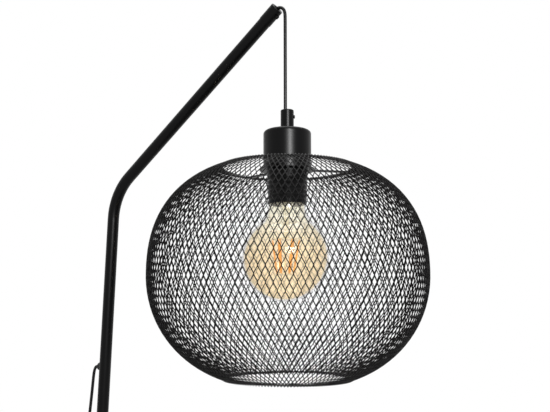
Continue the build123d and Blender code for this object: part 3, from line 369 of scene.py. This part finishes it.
def tube_mesh(name, line, radius, mat, sides=16):
    """Round tube along a line of points, with closed ends."""
    points = []
    side = None
    for i, p in enumerate(line):
        way = (line[min(i + 1, len(line) - 1)] - line[max(i - 1, 0)]).normalized()
        if side is None:
            side = way.orthogonal().normalized()
        side = (side - way * side.dot(way)).normalized()
        up = way.cross(side)
        for k in range(sides):
            a = 2 * pi * k / sides
            points.append(p + (side * cos(a) + up * sin(a)) * radius)
    return mesh_object(name, points, tube_faces(len(line), sides), mat, sharp=60)


# ================================================================ hanging cord
CORD_X = 0.322472
BEND_POINTS = [
    (0.308580, 0, 1.541285), (0.311572, 0, 1.543597), (0.316172, 0, 1.543197), (0.320172, 0, 1.540397),
    (0.322172, 0, 1.535197), (CORD_X, 0, 1.529797), (CORD_X, 0, 1.521), (CORD_X, 0, 1.512)]
DROP_POINTS = [(CORD_X, 0, 1.512), (CORD_X, 0, 1.497), (CORD_X, 0, 1.45), (CORD_X, 0, 1.4030)]


def hanging_cord_bend():
    """Stretch over the lip of the tip, down past the first point where the cord flexes."""
    line = curve_line(BEND_POINTS, resolution=14)
    bend = tube_mesh("pendant_cord_top_run", line, CORD_R, MATERIALS["cord_jacket"])
    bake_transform(bend)
    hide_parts("pendant_cord_bend", "pendant_cord_upper")


def hanging_cord_drop():
    """Straight stretch, past the second flex point and into the grip."""
    line = curve_line(DROP_POINTS, resolution=24)
    drop = tube_mesh("pendant_cord_long_run", line, CORD_R, MATERIALS["cord_jacket"])
    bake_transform(drop)
    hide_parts("pendant_cord_lower")


hanging_cord_bend()
hanging_cord_drop()

# ================================================================ mains lead, in millimetres
FLOOR_Z = 2.0
LEAD_POINTS = [
    (29.525, 0, 1117.396), (24.129, 0, 1117.594),
    (20.3, 0.2, 1112.8), (18.4, 0.5, 1104.2), (16.2, 1.0, 1086.0), (11.9, 1.6, 1053.0),
    (5.8, 1.2, 1004.0), (1.0, 0.2, 947.0), (-2.4, -1.2, 889.0), (-6.6, -2.2, 831.0),
    (-11.6, -2.4, 773.0), (-15.9, -1.4, 715.0), (-20.0, 0.4, 657.0), (-25.4, 2.4, 600.0),
    (-31.6, 4.2, 543.0), (-37.6, 5.4, 486.0), (-44.2, 6.4, 430.0), (-52.2, 7.8, 375.0),
    (-60.6, 9.8, 321.0), (-69.6, 12.0, 268.0), (-80.4, 14.0, 217.0), (-93.0, 16.2, 168.0),
    (-107.2, 18.6, 122.0), (-124.0, 21.0, 80.0), (-142.6, 24.0, 46.0), (-163.0, 28.2, 20.5),
    (-184.0, 34.0, 6.4), (-206.0, 44.0, FLOOR_Z), (-222.0, 62.0, FLOOR_Z),
    (-229.0, 86.0, FLOOR_Z), (-227.0, 108.0, 3.0)]
SWITCH_AT = (-176.5, 186.0)
SWITCH_TURN = 60.0
SWITCH_REACH = 53.0        # from the switch's middle to the end of a relief
SWITCH_CORD_Z = 6.0
LINK_POINTS = [(-137.0, 250.4, 4.4), (-123.0, 260.6, 2.8)]
COIL_AT = (-88.0, 238.0)
COIL_TURNS_PER_LAYER = 3
COIL_MIDDLE_R = 21.5
COIL_PITCH = 4.9
COIL_START = 90.0
COIL_STEPS = 16
COIL_WAY_IN = 15.0         # the link comes towards the coil from this far to its side
COIL_WAY_OUT = 14.0
TAIL_POINTS = [(-64.0, 261.0, 3.6), (-51.6, 249.6, 3.6)]
PLUG_AT = (-30.0, 193.0)
PLUG_TURN = -70.0
PLUG_BACK = 37.5           # from the plug's middle to the end of its relief
PLUG_Z = 6.6
BEFORE_SWITCH = 14.0       # straight runs of the cord at the reliefs
AFTER_SWITCH = 9.0
BEFORE_PLUG = 10.0


def metres(points):
    return [(x / 1000, y / 1000, z / 1000) for x, y, z in points]


def switch_end(side, further=0.0):
    """Point on the cord's line, beyond the relief on one side of the switch."""
    turn = radians(SWITCH_TURN)
    reach = side * (SWITCH_REACH + further)
    return (SWITCH_AT[0] + reach * cos(turn), SWITCH_AT[1] + reach * sin(turn), SWITCH_CORD_Z)


def plug_end(further=0.0):
    """Point on the cord's line, behind the plug's relief."""
    turn = radians(PLUG_TURN)
    back = PLUG_BACK + further
    return (PLUG_AT[0] - back * cos(turn), PLUG_AT[1] - back * sin(turn), PLUG_Z)


def coil_point(turns):
    """Point of the coil after a number of turns: in on the floor, up one layer, and out again."""
    half = COIL_TURNS_PER_LAYER
    inner_r = COIL_MIDDLE_R - COIL_PITCH * (half - 1) / 2
    r = inner_r + COIL_PITCH * abs(turns - half) - COIL_PITCH / 4
    # It climbs over half a turn, with the middle of the coil in the middle of that.
    climb = min(max((turns - half) * 2 + 0.5, 0.0), 1.0)
    turn = radians(COIL_START) - 2 * pi * turns
    return (COIL_AT[0] + r * cos(turn), COIL_AT[1] + r * sin(turn), FLOOR_Z + COIL_PITCH * climb)


def lead_to_switch():
    points = metres(LEAD_POINTS + [switch_end(-1, BEFORE_SWITCH), switch_end(-1)])
    lead = nurbs("lead_to_switch", points, CORD_R)
    lead.data.materials.append(MATERIALS["cord_jacket"])
    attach(lead, "frame")
    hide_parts("lead_drop")
    length = line_length(curve_line(points, resolution=12))


def lead_to_plug():
    count = 2 * COIL_TURNS_PER_LAYER * COIL_STEPS
    coil = [coil_point(k / COIL_STEPS) for k in range(count + 1)]
    way_in = (coil[0][0] - COIL_WAY_IN, coil[0][1], coil[0][2])
    way_out = (coil[-1][0] + COIL_WAY_OUT, coil[-1][1], coil[-1][2])
    link = [switch_end(1), switch_end(1, AFTER_SWITCH)] + LINK_POINTS + [way_in]
    tail = [way_out] + TAIL_POINTS + [plug_end(BEFORE_PLUG), plug_end()]
    points = metres(link + coil + tail)
    rest = nurbs("lead_to_plug", points, CORD_R, resolution=4)
    rest.data.materials.append(MATERIALS["cord_jacket"])
    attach(rest, "frame")
    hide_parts("lead_link", "lead_coil", "lead_tail")
    length = line_length(curve_line(points, resolution=4))


lead_to_switch()
lead_to_plug()

# ================================================================ expanded mesh of the shade
SHADE_R = 0.155
SHADE_MID_Z = 1.23106
TOP = (0.1300, 2.55, 2.36, 0.0735)       # rise, powers, radius of the hole
BOTTOM = (0.1233, 2.41, 2.0, 0.0690)     # drop, powers, radius of the hole
PROFILE_STEPS = 400
AROUND = 134               # openings round the shade
ROWS = 40                  # half rows of openings up the shade
EDGE_INSET = 0.0012        # the first and the last row of junctions stand this far inside the edges
THICK = 0.00074
BOND_HALF_W = 0.00048      # a junction's half width and half height
BOND_HALF_H = 0.0007
TIP_BACK = 0.00157         # an opening ends this far from the junctions above and below it
RIDGE = 0.00012            # the junctions stand out by this on both sides
WANDER = 0.0018            # unevenness of the sheet, as an angle in radians
# Waves of the unevenness: size, count round the shade, and in radians the shift per row and the start.
WAVES = ((1.0, 3, 0.23, 0.0), (0.7, 5, -0.31, 1.3))


def half_profile(share, rise, p, q, hole_r):
    """(radius, height) at a share of the way from the widest place to a hole."""
    last = acos((hole_r / SHADE_R) ** (p / 2))
    turn = share * last
    return SHADE_R * cos(turn) ** (2 / p), rise * sin(turn) ** (2 / q)


def shade_rows():
    """Evenly spaced (radius, height, slope) rows up the shade."""
    lower = [half_profile(k / PROFILE_STEPS, *BOTTOM) for k in range(PROFILE_STEPS, 0, -1)]
    upper = [half_profile(k / PROFILE_STEPS, *TOP) for k in range(PROFILE_STEPS + 1)]
    line = [(r, -z) for r, z in lower] + upper
    along = [0.0]
    for (r0, z0), (r1, z1) in zip(line, line[1:]):
        along.append(along[-1] + hypot(r1 - r0, z1 - z0))
    between = along[-1] - 2 * EDGE_INSET
    rows = []
    k = 0
    for i in range(ROWS + 1):
        wanted = EDGE_INSET + between * i / ROWS
        while k < len(along) - 2 and along[k + 1] < wanted:
            k += 1
        share = (wanted - along[k]) / (along[k + 1] - along[k])
        (r0, z0), (r1, z1) = line[k], line[k + 1]
        slope = atan2(z1 - z0, r1 - r0)
        rows.append((r0 + (r1 - r0) * share, z0 + (z1 - z0) * share, slope))
    return rows


def junction_turn(row, k):
    """Angle of a junction about the axis; the sheet is drawn a little unevenly over its form."""
    place = k % AROUND / AROUND * 2 * pi
    wander = sum(size * sin(count * place + shift * row + start) for size, count, shift, start in WAVES)
    return (k + 0.5 * (row % 2)) * 2 * pi / AROUND + WANDER * wander


def sheet_point(spot, turn, aside, up, out):
    """Point beside a spot of the sheet's profile, moved sideways, up the shade and outwards."""
    r, z, slope = spot
    r += up * cos(slope) + out * sin(slope)
    z += up * sin(slope) - out * cos(slope)
    x = r * cos(turn) - aside * sin(turn)
    y = r * sin(turn) + aside * cos(turn)
    return (AXIS_X + x, AXIS_Y + y, SHADE_MID_Z + z)


def shade_mesh():
    """Every opening with the half strands round it, and with the walls of the opening."""
    rows = shade_rows()
    points, faces = [], []

    def through(row, turn, aside=0.0, up=0.0, ridge=0.0):
        """Numbers of the two points, outside and inside, at one place of the sheet."""
        points.append(sheet_point(rows[row], turn, aside, up, ridge))
        points.append(sheet_point(rows[row], turn, aside, up, -THICK - ridge))
        return len(points) - 2, len(points) - 1

    def skin(*corners):
        """A face outside and the same face inside."""
        faces.append(tuple(outer for outer, inner in corners))
        faces.append(tuple(inner for outer, inner in reversed(corners)))

    def walls(rim):
        for (outer_a, inner_a), (outer_b, inner_b) in zip(rim, rim[1:]):
            faces.append((outer_a, outer_b, inner_b, inner_a))

    junctions = {(row, k): through(row, junction_turn(row, k), ridge=RIDGE)
                 for row in range(ROWS + 1) for k in range(AROUND)}
    for row in range(ROWS + 1):
        for k in range(AROUND):
            left_turn, right_turn = junction_turn(row, k), junction_turn(row, k + 1)
            tip_turn = (left_turn + right_turn) / 2
            left, right = junctions[row, k], junctions[row, (k + 1) % AROUND]
            across = (k + row % 2) % AROUND      # number of the junctions below and above the opening
            lower, upper = [], []
            if row > 0:
                below = junctions[row - 1, across]
                low_left = through(row, left_turn, BOND_HALF_W, -BOND_HALF_H)
                low_tip = through(row - 1, tip_turn, up=TIP_BACK)
                low_right = through(row, right_turn, -BOND_HALF_W, -BOND_HALF_H)
                lower = [low_left, low_tip, low_right]
                skin(below, right, low_right, low_tip)
                skin(left, below, low_tip, low_left)
            if row < ROWS:
                above = junctions[row + 1, across]
                high_right = through(row, right_turn, -BOND_HALF_W, BOND_HALF_H)
                high_tip = through(row + 1, tip_turn, up=-TIP_BACK)
                high_left = through(row, left_turn, BOND_HALF_W, BOND_HALF_H)
                upper = [high_right, high_tip, high_left]
                skin(right, above, high_tip, high_right)
                skin(above, left, high_left, high_tip)
            if lower and upper:
                skin(right, high_right, low_right)
                skin(left, low_left, high_left)
                walls(lower + upper + lower[:1])
            else:
                walls(lower + upper)
    obj = mesh_object("shade_expanded_mesh", points, faces, MESH_BLACK, smooth=False)
    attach(obj, "pendant")
    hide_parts("shade_mesh")


HEM_R = 0.0018
HEM_RIDGE = 0.0009
HEM_STEPS_PER_RIDGE = 8
HEM_SIDES = 16


def rolled_hem(name, ring_node, edge_r, edge_z):
    """Edge of the mesh, rolled round the ring's wire: one slanting ridge for each strand."""
    steps = AROUND * HEM_STEPS_PER_RIDGE
    points = []
    for i in range(steps):
        a = 2 * pi * i / steps
        for k in range(HEM_SIDES):
            b = 2 * pi * k / HEM_SIDES
            r = HEM_R + HEM_RIDGE * (cos(AROUND * a - b) - 0.5)
            out = edge_r + r * cos(b)
            points.append((AXIS_X + out * cos(a), AXIS_Y + out * sin(a), edge_z + r * sin(b)))
    obj = mesh_object(name, points, turned_faces(steps, HEM_SIDES), HEM_BLACK)
    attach(obj, "pendant")
    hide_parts(ring_node)


shade_mesh()
rolled_hem("shade_top_hem", "shade_top_ring", edge_r=0.0746, edge_z=1.3505)
rolled_hem("shade_bottom_hem", "shade_bottom_ring", edge_r=0.0699, edge_z=1.1188)

# ================================================================ bulb
BULB_MID_Z = 1.249597
BULB_R = 0.0485
NECK_R = 0.0209
BLEND_R = 0.024            # hollow curve between the neck and the globe
GLASS_THICK = 0.0008
COLLAR_BORE_R = 0.0198     # the glass is narrower where it is inside the collar
COLLAR_MOUTH_Z = 1.3094
COLLAR_STEP = (0.0004, -0.0006)      # the glass widens between these heights, from the collar's mouth
NECK_TOP_Z = 1.314697
NECK_TOP_R = 0.0132
SHOULDER = 0.0035
LEAN_PIVOT_Z = 1.328       # the bulb sits a little askew in its thread
LEAN = 1.6
FILAMENTS = 6
FILAMENT_TURN = 29.0
FILAMENT_LOW_Z = 1.2322
FILAMENT_LENGTH = 0.0372
FILAMENT_TOP_R = 0.0150    # radii of the circles on which the filaments' ends stand
FILAMENT_LOW_R = 0.0093
FILAMENT_WIRE_R = 0.001
FILAMENT_END = 0.55        # share of the thickness at a filament's ends
FILAMENT_SIDES = 10
FILAMENT_STEPS = 12
STEM_RIM = 0.0012          # the stem's two discs reach this far past the filaments


def bulb_outline(offset, blend_steps=12, ball_steps=40):
    """(radius, height) line of the glass from the cap down to the lowest point, moved inwards by offset."""
    ball, neck, blend = BULB_R - offset, NECK_R - offset, BLEND_R + offset
    centre_r = neck + blend
    centre_z = BULB_MID_Z + ((ball + blend) ** 2 - centre_r ** 2) ** 0.5
    in_collar = COLLAR_BORE_R - offset
    line = [(NECK_TOP_R - offset, NECK_TOP_Z), (in_collar, NECK_TOP_Z - SHOULDER),
            (in_collar, COLLAR_MOUTH_Z + COLLAR_STEP[0]), (neck, COLLAR_MOUTH_Z + COLLAR_STEP[1]),
            (neck, centre_z)]
    meeting = atan2(centre_z - BULB_MID_Z, centre_r)
    for k in range(1, blend_steps + 1):
        a = pi + meeting * k / blend_steps
        line.append((centre_r + blend * cos(a), centre_z + blend * sin(a)))
    for k in range(1, ball_steps + 1):
        a = meeting + (-pi / 2 - meeting) * k / ball_steps
        line.append((max(ball * cos(a), NEARLY_ZERO), BULB_MID_Z + ball * sin(a)))
    return line


def askew(obj):
    """Set a piece of the bulb over by the lean of the bulb in its thread."""
    a = radians(CAMERA_AZIMUTH)
    for v in obj.data.vertices:
        aside = (LEAN_PIVOT_Z - v.co.z) * tan(radians(LEAN))
        v.co.x -= cos(a) * aside
        v.co.y -= sin(a) * aside


def bulb_globe():
    outline = bulb_outline(0.0) + bulb_outline(GLASS_THICK)[::-1]
    glass = lathe("bulb_globe", outline, MATERIALS["amber_glass"])
    askew(glass)
    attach(glass, "pendant")
    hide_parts("bulb_glass")


def bulb_stem():
    """Flared foot in the neck, a rod down from it, and a thin disc at both ends of the filaments."""
    low, high = FILAMENT_LOW_Z, FILAMENT_LOW_Z + FILAMENT_LENGTH
    top_rim, low_rim = FILAMENT_TOP_R + STEM_RIM, FILAMENT_LOW_R + STEM_RIM
    foot = [(NEARLY_ZERO, NECK_TOP_Z), (0.008, NECK_TOP_Z), (0.0072, NECK_TOP_Z - 0.005),
            (0.0045, NECK_TOP_Z - 0.013), (0.0034, NECK_TOP_Z - 0.02)]
    rod = [(0.0032, high + 0.004), (0.0026, high + 0.0015)]
    top_disc = [(top_rim, high + 0.0012), (top_rim, high + 0.0002), (0.0012, high)]
    low_disc = [(0.001, low), (low_rim, low - 0.0002), (low_rim, low - 0.0012), (NEARLY_ZERO, low - 0.0014)]
    stem = lathe("bulb_inner_stem", foot + rod + top_disc + low_disc, MATERIALS["clear_glass"], steps=48,
                 closed=False, sharp=35)
    askew(stem)
    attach(stem, "pendant")
    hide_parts("bulb_stem")


def filament_points(turn):
    """Points of one filament, ring by ring from the top, narrower at both ends."""
    points = []
    for i in range(FILAMENT_STEPS + 1):
        share = i / FILAMENT_STEPS
        r = FILAMENT_TOP_R + (FILAMENT_LOW_R - FILAMENT_TOP_R) * share
        z = FILAMENT_LOW_Z + FILAMENT_LENGTH * (1 - share)
        thick = FILAMENT_WIRE_R * (FILAMENT_END if i in (0, FILAMENT_STEPS) else 1.0)
        for j in range(FILAMENT_SIDES, 0, -1):
            b = 2 * pi * j / FILAMENT_SIDES
            out, side = r + thick * cos(b), thick * sin(b)
            x = out * cos(turn) - side * sin(turn)
            y = out * sin(turn) + side * cos(turn)
            points.append((AXIS_X + x, AXIS_Y + y, z))
    return points


def bulb_filaments():
    points, faces = [], []
    for k in range(FILAMENTS):
        faces += tube_faces(FILAMENT_STEPS + 1, FILAMENT_SIDES, first=len(points))
        points += filament_points(radians(FILAMENT_TURN) + 2 * pi * k / FILAMENTS)
    rods = mesh_object("bulb_filament_rods", points, faces, MATERIALS["filament_yellow"])
    askew(rods)
    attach(rods, "pendant")
    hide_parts("bulb_filaments")


bulb_globe()
bulb_stem()
bulb_filaments()

# ================================================================ spring of the foot switch
SPRING_R = 0.0042
SPRING_WIRE_R = 0.0004
SPRING_TURNS = 4
SPRING_STEPS = 28          # points along each turn
SPRING_LOW_Z = 0.0075
SPRING_RISE = 0.0082


def switch_spring():
    """Return spring under the button, drawn as one fixed coil; the real one shortens as the button goes
    down.
    """
    middle_x, middle_y = SWITCH_AT[0] / 1000, SWITCH_AT[1] / 1000
    count = SPRING_TURNS * SPRING_STEPS
    line = []
    for k in range(count + 1):
        a = radians(SWITCH_TURN) + 2 * pi * k / SPRING_STEPS
        z = SPRING_LOW_Z + SPRING_RISE * k / count
        line.append(Vector((middle_x + SPRING_R * cos(a), middle_y + SPRING_R * sin(a), z)))
    spring = tube_mesh("foot_switch_coil_spring", line, SPRING_WIRE_R, MATERIALS["zinc_steel"], sides=10)
    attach(spring, "frame")
    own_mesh(spring)
    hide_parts("foot_switch_spring")


switch_spring()

# ================================================================ floor, light and background
WORLD_STRENGTH = 0.3
FLOOR_R = 2.6
FLOOR_STEPS = 96
FLOOR_COLOR = (0.86, 0.86, 0.86)
FLOOR_DROP = 0.0002        # the floor lies this far under the base
FLOOR_FADE = (0.35, 1.45)  # distances between which the floor goes over to the white background


def seen_plainly(nodes, links):
    """1 for the rays that show a surface, straight on, by reflection or through glass; 0 for all others."""
    path = nodes.new("ShaderNodeLightPath")
    factor = path.outputs["Is Camera Ray"]
    for kind in ("Is Glossy Ray", "Is Transmission Ray"):
        either = nodes.new("ShaderNodeMath")
        either.operation = "MAXIMUM"
        links.new(factor, either.inputs[0])
        links.new(path.outputs[kind], either.inputs[1])
        factor = either.outputs["Value"]
    return factor


def mix_shaders(nodes, links, factor, first, second, surface):
    mix = nodes.new("ShaderNodeMixShader")
    links.new(factor, mix.inputs["Fac"])
    links.new(first, mix.inputs[1])
    links.new(second, mix.inputs[2])
    links.new(mix.outputs["Shader"], surface)


def world():
    """Soft light from all round, which shows as plain white."""
    w = bpy.data.worlds.new("world")
    w.use_nodes = True
    nodes, links = w.node_tree.nodes, w.node_tree.links
    background = nodes["Background"]
    background.inputs["Color"].default_value = (1, 1, 1, 1)
    background.inputs["Strength"].default_value = WORLD_STRENGTH
    seen = nodes.new("ShaderNodeBackground")
    seen.inputs["Color"].default_value = (1, 1, 1, 1)
    seen.inputs["Strength"].default_value = 1.0
    mix_shaders(nodes, links, seen_plainly(nodes, links), background.outputs["Background"],
                seen.outputs["Background"], nodes["World Output"].inputs["Surface"])
    bpy.context.scene.world = w


def floor_material():
    m = bpy.data.materials.new("floor")
    m.use_nodes = True
    nodes, links = m.node_tree.nodes, m.node_tree.links
    shader = nodes["Principled BSDF"]
    shader.inputs["Base Color"].default_value = (*FLOOR_COLOR, 1)
    shader.inputs["Roughness"].default_value = 0.8
    distance = nodes.new("ShaderNodeVectorMath")
    distance.operation = "LENGTH"
    links.new(nodes.new("ShaderNodeTexCoord").outputs["Object"], distance.inputs[0])
    fade = spread(nodes, links, distance.outputs["Value"], FLOOR_FADE)
    fade.interpolation_type = "SMOOTHSTEP"
    far_and_seen = nodes.new("ShaderNodeMath")
    far_and_seen.operation = "MULTIPLY"
    links.new(seen_plainly(nodes, links), far_and_seen.inputs[0])
    links.new(fade.outputs["Result"], far_and_seen.inputs[1])
    white = nodes.new("ShaderNodeEmission")
    white.inputs["Color"].default_value = (1, 1, 1, 1)
    white.inputs["Strength"].default_value = 1.0
    mix_shaders(nodes, links, far_and_seen.outputs["Value"], shader.outputs["BSDF"],
                white.outputs["Emission"], nodes["Material Output"].inputs["Surface"])
    return m


def floor():
    turns = [2 * pi * k / FLOOR_STEPS for k in range(FLOOR_STEPS)]
    points = [(FLOOR_R * cos(a), FLOOR_R * sin(a), 0) for a in turns]
    plane = mesh_object("floor", points, [tuple(range(FLOOR_STEPS))], floor_material(), smooth=False)
    plane.location.z = -FLOOR_DROP


def area_light(name, at, target, size, power):
    """Rectangular lamp; size is its width and its height."""
    data = bpy.data.lights.new(name, "AREA")
    data.shape = "RECTANGLE"
    data.size, data.size_y = size
    data.energy = power
    obj = bpy.data.objects.new(name, data)
    obj.location = at
    obj.rotation_euler = (Vector(target) - Vector(at)).to_track_quat("-Z", "Y").to_euler()
    bpy.context.scene.collection.objects.link(obj)


def lamps():
    """A soft box with a brighter middle, high on the right behind the camera, and a wide lamp above."""
    shade = (AXIS_X, AXIS_Y, 1.3)
    area_light("key", beside_shade(0.42, 1.9, 1.83), shade, size=(1.0, 0.6), power=26)
    area_light("key_core", beside_shade(0.41, 1.86, 1.818), shade, size=(0.34, 0.34), power=28)
    area_light("top", (0.2, 0.1, 3.0), (0.2, 0, 0.9), size=(1.6, 1.6), power=24)


world()
floor()
lamps()

view = bpy.context.scene.view_settings
view.view_transform = "Standard"
